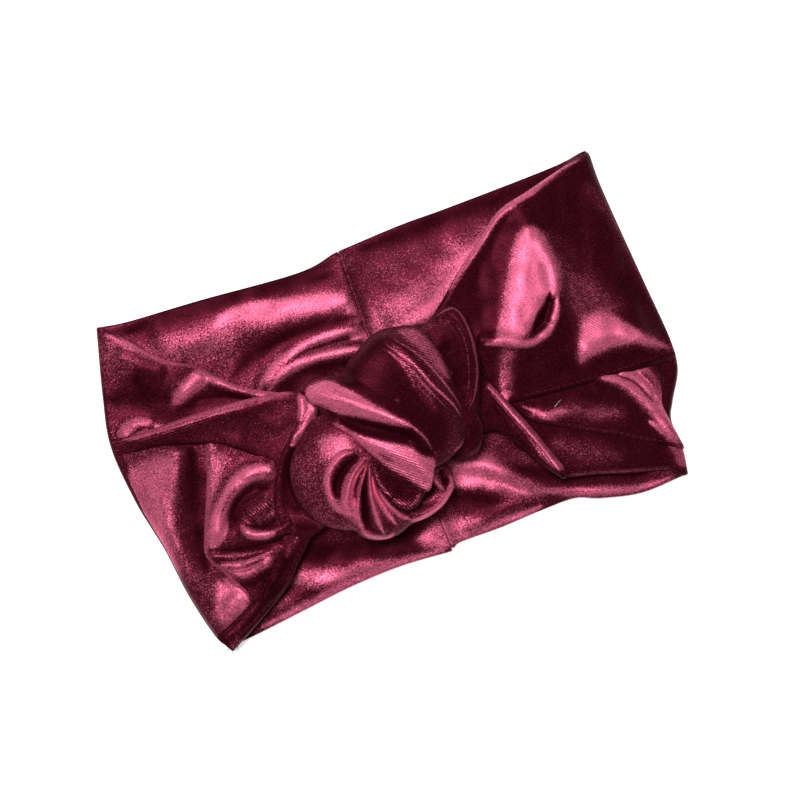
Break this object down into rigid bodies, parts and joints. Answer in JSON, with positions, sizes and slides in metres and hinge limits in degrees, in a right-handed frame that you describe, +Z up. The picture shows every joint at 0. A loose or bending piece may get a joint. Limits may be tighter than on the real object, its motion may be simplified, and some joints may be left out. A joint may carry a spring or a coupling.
{
  "type": "knotted headband",
  "caption": "Wide stretch velvet headband, folded flat, with pleated wings gathered into a big soft knot at the front and a seam at the centre back.",
  "frame": {"origin": "on the surface that the band lies on, under the middle of the folded band", "axes": "+X along the folded band towards its right side fold, +Y towards its top edge, +Z up through the knot"},
  "size_m": [0.252, 0.156, 0.042],
  "materials": {
    "velvet": "burgundy stretch velvet with a short shiny pile",
    "velvet_ribbed": "the same velvet stretched or turned so that its knit ribs show",
    "thread": "matching polyester sewing thread"
  },
  "bodies": {
    "centre_seam": {"centre_seam_allowance": "velvet_ribbed", "centre_seam_stitches": "thread"},
    "back_left": {"back_left_tube": "velvet", "back_left_seam_stitches": "thread"},
    "back_right": {"back_right_tube": "velvet", "back_right_seam_stitches": "thread"},
    "front_left": {"front_left_wing": "velvet", "left_pleat_flap": "velvet", "left_lower_fold": "velvet", "left_swirl_fold": "velvet", "left_gather_edge": "velvet", "left_hem_seam": "velvet", "left_hem_stitches": "thread"},
    "front_right": {"front_right_wing": "velvet", "right_upper_flap": "velvet", "right_pillow_fold": "velvet", "right_middle_leaf": "velvet", "right_twist_fold": "velvet", "right_flap_stitches": "thread", "right_leaf_stitches": "thread"},
    "knot": {"knot_throat": "velvet_ribbed", "knot_tie_thread": "thread", "knot_puff": "velvet", "knot_wrap": "velvet", "knot_back_loop": "velvet", "knot_inner_tail": "velvet"}
  },
  "joints": [
    {"name": "back_left_tilt", "type": "hinge", "parent": "centre_seam", "child": "back_left", "pos_m": [0, 0, 0.0013], "axis": [0, 1, 0], "range_deg": [0, 45]},
    {"name": "back_right_tilt", "type": "hinge", "parent": "centre_seam", "child": "back_right", "pos_m": [0, 0, 0.0013], "axis": [0, -1, 0], "range_deg": [0, 45]},
    {"name": "left_fold", "type": "hinge", "parent": "back_left", "child": "front_left", "pos_m": [-0.119, 0, 0.00645], "axis": [0, -1, 0], "range_deg": [0, 90]},
    {"name": "right_fold", "type": "hinge", "parent": "back_right", "child": "front_right", "pos_m": [0.119, 0, 0.00645], "axis": [0, 1, 0], "range_deg": [0, 90]},
    {"name": "knot_level", "type": "hinge", "parent": "front_left", "child": "knot", "pos_m": [0, 0, 0.0116], "axis": [0, 1, 0], "range_deg": [0, 45]}
  ],
  "couplings": [
    {"joint": "back_left_tilt", "follows": "left_fold", "ratio": 0.5},
    {"joint": "back_right_tilt", "follows": "left_fold", "ratio": 0.5},
    {"joint": "right_fold", "follows": "left_fold", "ratio": 1},
    {"joint": "knot_level", "follows": "left_fold", "ratio": 0.5}
  ]
}
